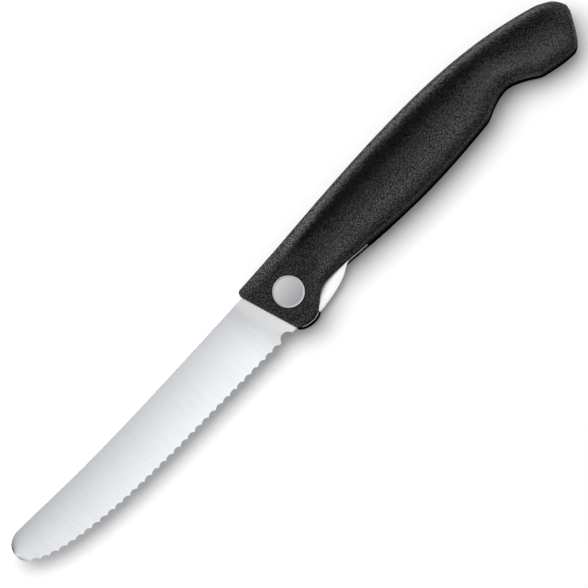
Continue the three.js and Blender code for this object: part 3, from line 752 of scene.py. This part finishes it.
plastic = moulded_plastic()
peg_spots = [(x, (EDGE_GAP + sweep_depth(x) + spine_line(x)) / 2) for x in PEGS_AT]
peg_holes = [
    rod(PEG_RADIUS + FIT_GAP, slot_half - PEG_LENGTH - POCKET_GAP, OUTSIDE, spot) for spot in peg_spots
]
rivet_holes = [
    rod(RIVET_RADIUS + FIT_GAP, -liner_floor - RIVET_GRIP - SEAT_GAP, 0, spot)
    for spot in RIVET_SPOTS.values()
]
far_half = shape("far_handle_half", *mirrored(*skin(handle_rings(SEAT_GAP - slot_half, FAR_LIP))))
carve(far_half, [
    slab(slot_outline(), -slot_half, OUTSIDE),
    slab(pocket_outline(), -liner_floor - SEAT_GAP, 0),
    slab(arm_room_outline(), -liner_floor - arm_drop - ARM_GAP, 0),
    mirrored(*pivot_seat()),
    rod(STOP_RADIUS + FIT_GAP, -slot_half - STOP_SEAT - SEAT_GAP, 0, STOP_SPOT),
    *peg_holes,
    *rivet_holes,
])
dress(far_half, plastic, "handle", "handle_plastic", "far_scale")

# Liner and its rivets
# A flat strip of spring steel, blanked out and deburred, that backs the bolster and carries the lock.
# It lies in the far half's pocket, and three countersunk rivets hold it there.
LINER_INSET = 0.36
LINER_BEVEL = 0.1
RIVET_HEAD = 2
RIVET_CONE = 0.5
RIVET_LAND = 0.15
RIVET_ROUND = 0.06
CUT_PAST = 1
LOBE_STEPS = 60
SMALL_STEPS = 48
BEVEL_STEPS = 2
SPRING_STEEL = (0.92, 0.93, 0.94, 1)
SPRING_STEEL_DULL = (0.86, 0.87, 0.88, 1)
SPRING_ROUGH = (0.3, 0.42)
ROLLING_MARKS = (60, 2600, 2600)


def soften(made, width):
    """Rounds the sharp edges of an object."""
    step = made.modifiers.new("soften", "BEVEL")
    step.width = width * MM
    step.segments = BEVEL_STEPS
    step.limit_method = "ANGLE"
    step.angle_limit = SMOOTH_BELOW
    keep_result(made)


def rolled_steel():
    """Bright rolled strip, with faint rolling marks along it."""
    made, shade, surface = finish_tree("bright_spring_steel")
    place = shade.add("ShaderNodeTexCoord", output="Object")
    drawn = shade.add("ShaderNodeMapping", None, {"Vector": place, "Scale": ROLLING_MARKS})
    marks = mottle(drawn, 1.0, 2.0)
    shade.join(marks.blend(SPRING_STEEL_DULL, SPRING_STEEL), surface.inputs["Base Color"])
    shade.join(lerp(*SPRING_ROUGH, marks), surface.inputs["Roughness"])
    surface.inputs["Metallic"].default_value = 1
    return made


def liner_outline():
    """The liner with its lobe, before the arm is cut out of it."""
    inset = LINER_WALL + POCKET_GAP
    lobe = np.linspace(front_edge(-LOBE_DEPTH) + inset, ARM_FRONT, LOBE_STEPS)
    rim = [(x, belly_line(x) + LINER_INSET) for x in lobe]
    return [
        (front_edge(LINER_TOP) + inset, LINER_TOP),
        *rim,
        (ARM_FRONT, -LINER_LOW),
        (LINER_REAR, -LINER_LOW),
        (LINER_REAR, LINER_TOP),
    ]


def countersunk(spot, play=0, rise=0):
    """A rivet just under the liner's face. With play and a rise it is its own hole."""
    top = -slot_half - RUN_GAP
    return turned([
        (0, -liner_floor - RIVET_GRIP),
        (RIVET_RADIUS + play, -liner_floor - RIVET_GRIP),
        (RIVET_RADIUS + play, top - RIVET_LAND - RIVET_CONE),
        (RIVET_HEAD + play, top - RIVET_LAND),
        (RIVET_HEAD + play, top + rise),
        (0, top + rise),
    ], spot, SMALL_STEPS)


spring_steel = rolled_steel()
liner = shape("lock_liner_strip", *slab(liner_outline(), -liner_floor, -slot_half))
carve(liner, [
    slab(arm_room_outline(), -liner_floor - CUT_PAST, 0),
    rod(BARREL_RADIUS + FIT_GAP, -liner_floor - CUT_PAST, 0),
    *[countersunk(spot, FIT_GAP, OUTSIDE) for spot in RIVET_SPOTS.values()],
])
soften(liner, LINER_BEVEL)
dress(liner, spring_steel, "handle", "spring_steel", "lock_liner")
for node, spot in RIVET_SPOTS.items():
    rivet = shape(node.replace("liner_rivet", "countersunk_rivet"), *countersunk(spot))
    soften(rivet, RIVET_ROUND)
    dress(rivet, spring_steel, "handle", "rivet_steel", node)

# Lock arm and its stud
# A tongue of the same spring steel, with a stud riveted into it and a thumb tab that shows in the recess
# of the belly. Its spring sets the stud into the tang, and it lies here pushed clear of the tang.
TAB_DEPTH = 10.15
TAB_END = 20.5
FLUSH_INSET = 0.55
STUD_SPOT = (4.750, -3.985)
STUD_RADIUS = 1
STUD_REACH = 1.05
STUD_ROUND = 0.25
TAB_STEPS = 70
FLUSH_STEPS = 12
ARM_BEVEL = 0.14
EASE_FROM = 5
EASE = math.radians(7)

arm_hinge = np.array((ARM_ROOT, 0, -slot_half - LINER_THICK / 2))
released = Matrix.Rotation(-ARM_SWING, 3, "Y")
tab_line = smooth_line([
    (ARM_FRONT, -TAB_DEPTH, 0.08),
    (lerp(ARM_FRONT, TAB_END, 0.7), lerp(-TAB_DEPTH, belly_line(TAB_END), 0.56), 0.36),
    (TAB_END, belly_line(TAB_END) + FLUSH_INSET, 0.1),
])


def arm_outline():
    """The arm with its tab, and the length behind it that lies flush with the belly."""
    tab = [(x, tab_line(x)) for x in np.linspace(ARM_FRONT, TAB_END, TAB_STEPS)]
    flush_x = np.linspace(TAB_END, FLUSH_END, FLUSH_STEPS)[1:]
    flush = [(x, belly_line(x) + FLUSH_INSET) for x in flush_x]
    return arm_upper_edge(0) + tab + flush + [(FLUSH_END, -LINER_LOW), (ARM_ROOT, -LINER_LOW)]


def swung(points, faces):
    """The same skin, turned about the root of the arm to where the lock is released."""
    return (points - arm_hinge) @ np.array(released).T + arm_hinge, faces


def tab_ease():
    """What is taken off the thumb tab's face, so that it leans a little to the belly."""
    outline = [
        (-OUTSIDE, -OUTSIDE),
        (ARM_ROOT, -OUTSIDE),
        (ARM_ROOT, -EASE_FROM),
        (-OUTSIDE, -EASE_FROM),
    ]
    points, faces = slab(outline, -slot_half, 0)
    points[:2, 2] -= (OUTSIDE - EASE_FROM) * math.tan(EASE)
    return points, faces


arm = shape("lock_arm_strip", *swung(*slab(arm_outline(), -liner_floor, -slot_half)))
carve(arm, [
    swung(*rod(STUD_RADIUS + FIT_GAP, -OUTSIDE, 0, STUD_SPOT)),
    swung(*tab_ease()),
])
soften(arm, ARM_BEVEL)
dress(arm, spring_steel, "lock_arm", "spring_steel", "lock_arm")
stud_top = STUD_REACH - BLADE_THICK / 2
stud = shape("lock_arm_stud", *swung(*rod(STUD_RADIUS, -liner_floor, stud_top, STUD_SPOT)))
soften(stud, STUD_ROUND)
dress(stud, spring_steel, "lock_arm", "rivet_steel", "lock_stud")

# Stop pin
# A plain turned steel pin, pressed into blind holes of both halves. The shoulders of the tang land on
# it when the blade is open and when it is folded.
PIN_ROUND = 0.2
TURNED_STEEL = (0.75, 0.76, 0.775, 1)
TURNED_STEEL_DULL = (0.68, 0.69, 0.705, 1)
SATIN_ROUGH = (0.27, 0.39)
SATIN_GRAIN = 2600.0
SATIN_CLOUD = 220.0


def satin_steel():
    """Turned steel, tumbled to an even satin."""
    made, shade, surface = finish_tree("satin_rivet_steel")
    place = shade.add("ShaderNodeTexCoord", output="Object")
    fine = mottle(place, SATIN_GRAIN, 3.0)
    tone = lerp(fine, mottle(place, SATIN_CLOUD, 2.0), 0.5).clamp()
    shade.join(tone.blend(TURNED_STEEL_DULL, TURNED_STEEL), surface.inputs["Base Color"])
    shade.join(lerp(*SATIN_ROUGH, fine), surface.inputs["Roughness"])
    surface.inputs["Metallic"].default_value = 1
    return made


rivet_steel = satin_steel()
pin_reach = slot_half + STOP_SEAT
stop_pin = shape("tang_stop_pin", *rod(STOP_RADIUS, -pin_reach, pin_reach, STOP_SPOT))
soften(stop_pin, PIN_ROUND)
dress(stop_pin, rivet_steel, "handle", "rivet_steel", "stop_pin")

# Pivot barrel and far washer
# The hollow half of the pivot rivet, turned in one with its far head, which sits in the far half's
# counterbore. A thin nylon washer on it keeps the tang off the liner.
SHANK_RADIUS = 1.7
HEAD_ROUND = 0.3
HEAD_DISH = 0.09
WASHER_RADIUS = 4.8
WASHER_ROUND = 0.08
RIM_STEPS = 7
DISH_STEPS = 12
NYLON = (0.72, 0.70, 0.64, 1)
NYLON_SHADE = (0.66, 0.63, 0.57, 1)
NYLON_ROUGH = (0.42, 0.54)
NYLON_CLOUD = 700.0


def rivet_head():
    """Outer side of a rivet head, from its seat to its dished middle, as (radius, level)."""
    rim = HEAD_RADIUS - HEAD_ROUND
    arc = [
        (rim + HEAD_ROUND * math.cos(a), mid_height - HEAD_ROUND * (1 - math.sin(a)))
        for a in np.linspace(0, math.pi / 2, RIM_STEPS)
    ]
    shares = np.linspace(1, 0, DISH_STEPS)[1:]
    dish = [(rim * share, mid_height - HEAD_DISH * (1 - share * share)) for share in shares]
    return [(HEAD_RADIUS, head_seat), *arc, *dish]


def pale_nylon():
    """Plain undyed nylon, slightly clouded."""
    made, shade, surface = finish_tree("pale_nylon")
    place = shade.add("ShaderNodeTexCoord", output="Object")
    cloud = mottle(place, NYLON_CLOUD, 3.0)
    shade.join(cloud.blend(NYLON_SHADE, NYLON), surface.inputs["Base Color"])
    shade.join(lerp(*NYLON_ROUGH, cloud), surface.inputs["Roughness"])
    return made


def washer(name, low):
    """A thin washer round the barrel, from the given level upwards."""
    high = low + WASHER_THICK
    made = shape(name, *rod(WASHER_RADIUS, low, high))
    carve(made, [rod(BARREL_RADIUS + FIT_GAP, low - CUT_PAST, high + CUT_PAST)])
    soften(made, WASHER_ROUND)
    return made


nylon = pale_nylon()
far_head = [(radius, -level) for radius, level in reversed(rivet_head())]
barrel = shape("pivot_barrel_turned", *turned([
    *far_head,
    (BARREL_RADIUS, -head_seat),
    (BARREL_RADIUS, head_seat - SEAT_GAP),
    (SHANK_RADIUS + FIT_GAP, head_seat - SEAT_GAP),
    (SHANK_RADIUS + FIT_GAP, -head_seat),
    (0, -head_seat),
]))
dress(barrel, rivet_steel, "handle", "rivet_steel", "pivot_barrel")
far_washer = washer("far_nylon_washer", -BLADE_THICK / 2 - RUN_GAP - WASHER_THICK)
dress(far_washer, nylon, "handle", "washer_nylon", "far_washer")

# Blade
# A thin stainless paring blade, flat ground on both sides as far as a narrow strip ahead of the handle.
# Its waves are hollowed from the far side and stop short of the plain round tip. It turns on the barrel.
SPINE_TANG = 10.35
SPINE_DIP = 7.5
DIP_TO_TIP = 37
SPINE_TIP = 8.05
TIP_ROUND = 5.8
EDGE_THICK = 0.4
EDGE_HEEL = 9.05
HEEL = 13.9
WAVE_PITCH = 3.165
WAVE_DEPTH = 0.72
WAVE_LAND = 0.06
WAVE_HOLLOW = 2
PLAIN_TIP = 4
HEEL_LAND = 0.9
CHOIL_WIDTH = 4.7
CHOIL_DEPTH = 1.75
RICASSO = 3.2
PLUNGE_RUN = 16
GRIND_BELLY = 0.09
KEEN_EDGE = 0.03
SPINE_ROUND = 0.06
TANG_RADIUS = 8.4
TANG_FRONT = -4
OPEN_FACE = math.radians(103.06)
FOLDED_FACE = math.radians(-93.06)
LOCK_HOLE = 1.2
TANG_OVERLAP = 2
TIP_STOP = 0.1
WAVE_STEPS = 16
HEEL_STEP = 0.2
BLADE_ROWS = 26
LAST_ROW = 0.996
ROW_CROWDING = 1.7
SPINE_STEPS = 4
CURVE_STEPS = 3000
TANGENT_STEP = 1e-4
BLADE_STEEL = (0.79, 0.805, 0.83, 1)
BLADE_STEEL_DULL = (0.75, 0.768, 0.795, 1)
RICASSO_PALER = (0.96, 0.965, 0.97, 1)
RICASSO_FADE = (-2.5, 1.5)
BLADE_ROUGH = (0.2, 0.28)
GRIND_LINES = (3200, 70, 70)
BLADE_CLOUD = 90.0
CLOUD_TONE = 0.4

blade_spine = smooth_line([
    (-BLADE_REACH, SPINE_TIP, 0),
    (TIP_ROUND - BLADE_REACH, SPINE_TIP, -0.02),
    (DIP_TO_TIP - BLADE_REACH, SPINE_DIP, 0.005),
    (0, SPINE_TANG, 0.035),
])


def walk(curve, share):
    """Points at shares of a curve's length."""
    run = np.concatenate([[0], np.cumsum(np.linalg.norm(np.diff(curve, axis=0), axis=1))])
    return np.stack([np.interp(share * run[-1], run, axis) for axis in curve.T], axis=-1), run[-1]


def edge_curve():
    """The cutting edge from heel to tip, without its waves."""
    share = np.sin(np.linspace(0, math.pi / 2, CURVE_STEPS)) ** (2 / SWEEP_POWER)
    ahead = BLADE_REACH - SWEEP * (1 - share)
    rise = np.stack([-ahead, -sweep_depth(ahead)], axis=-1)
    return np.concatenate([[(-HEEL, -EDGE_HEEL)], rise])


def spine_curve():
    """The spine from over the heel to the tip, with its round corner."""
    x = np.linspace(-HEEL, TIP_ROUND - BLADE_REACH, CURVE_STEPS)
    turn = np.linspace(math.pi / 2, 0, CURVE_STEPS)[1:]
    corner_x = TIP_ROUND - BLADE_REACH - TIP_ROUND * np.cos(turn)
    corner = np.stack([corner_x, lerp(TIP_HEIGHT, SPINE_TIP, np.sin(turn))], axis=-1)
    return np.concatenate([np.stack([x, blade_spine(x)], axis=-1), corner])


def half_thickness(x, y, share):
    """Half the blade's thickness. share runs from 0 at the edge to 1 at the spine."""
    flat = BLADE_THICK / 2
    ground = lerp(EDGE_THICK, BLADE_THICK, (y + EDGE_DEPTH) / (SPINE_TANG + EDGE_DEPTH)) / 2
    ground = np.minimum(flat, ground + GRIND_BELLY * 4 * share * (1 - share))
    plunge = front_edge(y) - RICASSO
    return lerp(ground, flat, np.clip(1 + (x - plunge) / PLUNGE_RUN, 0, 1) ** 2)


def arc_rise(off, width, depth):
    """Rise of a round arc over its chord, at a distance from its middle."""
    radius = (width ** 2 / 4 + depth ** 2) / (2 * depth)
    off = np.clip(off, -radius, radius)
    return np.sqrt(radius ** 2 - off ** 2) - (radius - depth)


def wave_cut(run):
    """How far the waves cut into the edge, which is a little below zero between two of them."""
    off = run % WAVE_PITCH - WAVE_PITCH / 2
    return arc_rise(off, WAVE_PITCH, WAVE_DEPTH + WAVE_LAND) - WAVE_LAND


def heel_edge():
    """Lower side of the blade behind the cutting edge, with the round sharpening notch."""
    x = np.arange(-HEEL + HEEL_STEP, TANG_FRONT + TANG_OVERLAP, HEEL_STEP)
    choil = arc_rise(x + HEEL - HEEL_LAND - CHOIL_WIDTH / 2, CHOIL_WIDTH, CHOIL_DEPTH)
    return np.stack([x, np.maximum(choil, 0) - EDGE_HEEL], axis=-1)


def blade_ribs():
    """Ribs from tip to tang: foot, top, inward way, cut of the wave, and 1 where there are waves."""
    edge = edge_curve()
    length = walk(edge, np.zeros(1))[1]
    step = WAVE_PITCH / WAVE_STEPS
    run = np.append(np.arange(0, length - step, step), length - TIP_STOP)
    share = run / length
    ahead = walk(edge, np.minimum(share + TANGENT_STEP, 1))[0]
    behind = walk(edge, np.maximum(share - TANGENT_STEP, 0))[0]
    tangent = (ahead - behind) / np.linalg.norm(ahead - behind, axis=-1, keepdims=True)
    inward = np.stack([tangent[:, 1], -tangent[:, 0]], axis=-1)
    waves_end = math.floor((length - PLAIN_TIP) / WAVE_PITCH) * WAVE_PITCH
    waved = (run <= waves_end).astype(float)
    heel = heel_edge()
    heel_top = np.stack([heel[:, 0], blade_spine(heel[:, 0])], axis=-1)
    return (
        np.concatenate([walk(edge, share)[0][::-1], heel]),
        np.concatenate([walk(spine_curve(), share)[0][::-1], heel_top]),
        np.concatenate([inward[::-1], np.tile((0, 1), (len(heel), 1))]),
        np.concatenate([(wave_cut(run) * waved)[::-1], np.zeros(len(heel))]),
        np.concatenate([waved[::-1], np.zeros(len(heel))]),
    )


def along_each(vectors, ways):
    """Lengths of each rib's vectors along that rib's own way."""
    return np.einsum("ijk,ik->ij", vectors, ways)


def blade_rings():
    """Closed rings round the blade from tip to tang."""
    plain, top, inward, cut, waved = blade_ribs()
    foot = plain + inward * np.maximum(cut, 0)[:, None]
    rib = top - foot
    reach = np.linalg.norm(rib, axis=-1, keepdims=True)
    rib /= reach
    rounding = np.minimum(SPINE_ROUND, reach / 4)
    share = np.append(LAST_ROW * np.linspace(0, 1, BLADE_ROWS) ** ROW_CROWDING, 1)
    spots = foot[:, None] + (rib * (reach - rounding))[:, None] * share[None, :, None]
    across = (top - plain) / np.sum((top - plain) ** 2, axis=-1, keepdims=True)
    ground = np.clip(along_each(spots - plain[:, None], across), 0, 1)
    near = half_thickness(spots[..., 0], spots[..., 1], ground)
    inside = along_each(spots - foot[:, None], inward) + np.maximum(-cut, 0)[:, None]
    hollow = np.maximum(-near, near * (1 - 2 * inside / WAVE_HOLLOW))
    far = np.minimum(lerp(-near, hollow, waved[:, None]), near - KEEN_EDGE)

    turn = np.linspace(0, math.pi / 2, SPINE_STEPS)[1:]
    round_spots = spots[:, -1:] + (rib * rounding)[:, None] * np.sin(turn)[None, :, None]
    drop = rounding * (1 - np.cos(turn))[None]
    round_near = near[:, -1:] - drop
    rows = [
        np.concatenate([spots, near[..., None]], axis=-1),
        np.concatenate([round_spots, round_near[..., None]], axis=-1),
        np.concatenate([round_spots, -round_near[..., None]], axis=-1)[:, ::-1],
        np.concatenate([spots, far[..., None]], axis=-1)[:, ::-1],
    ]
    return np.concatenate(rows, axis=1)


def tang_outline():
    """The round tang with its two shoulders, as far as the handle's front."""
    turn = np.linspace(FOLDED_FACE, OPEN_FACE, ROUND_STEPS)
    disc = [(TANG_RADIUS * math.cos(a), TANG_RADIUS * math.sin(a)) for a in turn]
    return [
        (TANG_FRONT, -EDGE_HEEL),
        (-EDGE_HEEL / math.tan(FOLDED_FACE), -EDGE_HEEL),
        *disc,
        (SPINE_TANG / math.tan(OPEN_FACE), SPINE_TANG),
        (TANG_FRONT, blade_spine(TANG_FRONT)),
    ]


def ground_steel():
    """Stainless steel with a fine cross-ground satin."""
    made, shade, surface = finish_tree("ground_stainless_steel")
    place = shade.add("ShaderNodeTexCoord", output="Object")
    drawn = shade.add("ShaderNodeMapping", None, {"Vector": place, "Scale": GRIND_LINES})
    lines = mottle(drawn, 1.0, 3.0)
    tone = lerp(lines, mottle(place, BLADE_CLOUD, 2.0), CLOUD_TONE).clamp()
    # The strip ahead of the handle is given a paler colour than the ground blade, fading in at the
    # plunge.
    slant = front_edge(1) - front_edge(0)
    plunge = front_edge(0) - RICASSO
    from_plunge = place.axis("X") / MM - slant * (place.axis("Y") / MM) - plunge
    flat = from_plunge.smooth(*RICASSO_FADE)
    ground = tone.blend(BLADE_STEEL_DULL, BLADE_STEEL)
    shade.join(flat.blend(ground, RICASSO_PALER), surface.inputs["Base Color"])
    shade.join(lerp(*BLADE_ROUGH, lines), surface.inputs["Roughness"])
    surface.inputs["Metallic"].default_value = 1
    return made


blade = shape("paring_blade", *skin(blade_rings()))
carve(blade, [slab(tang_outline(), -BLADE_THICK / 2, BLADE_THICK / 2)], "UNION")
lock_holes = [STUD_SPOT, (-STUD_SPOT[0], -STUD_SPOT[1])]
carve(blade, [
    rod(BARREL_RADIUS + FIT_GAP, -BLADE_THICK, BLADE_THICK),
    *[rod(LOCK_HOLE, -BLADE_THICK, BLADE_THICK, spot) for spot in lock_holes],
])
dress(blade, ground_steel(), "blade", "blade_steel", "blade")

# Near washer and near handle half
# The second nylon washer, and the near moulding over it. That is flat inside, with three pegs that
# press into the far half's spine wall, and carries the pivot's near head in its bolster.
near_washer = washer("near_nylon_washer", BLADE_THICK / 2 + RUN_GAP)
dress(near_washer, nylon, "handle", "washer_nylon", "near_washer")
near_half = shape("near_handle_half", *skin(handle_rings(slot_half, 0)))
carve(near_half, [
    pivot_seat(),
    rod(STOP_RADIUS + FIT_GAP, 0, slot_half + STOP_SEAT + SEAT_GAP, STOP_SPOT),
])
pegs = [rod(PEG_RADIUS, slot_half - PEG_LENGTH, slot_half + CUT_PAST, spot) for spot in peg_spots]
carve(near_half, pegs, "UNION")
dress(near_half, plastic, "handle", "handle_plastic", "near_scale")

# Pivot pin
# The solid half of the pivot rivet, pressed into the barrel from the near side. Its plain satin head
# fills the counterbore and stands a hair proud.
pin = shape("pivot_pin_turned", *turned([
    (0, SEAT_GAP - head_seat),
    (SHANK_RADIUS, SEAT_GAP - head_seat),
    (SHANK_RADIUS, head_seat),
    *rivet_head(),
]))
dress(pin, rivet_steel, "handle", "rivet_steel", "pivot_pin")
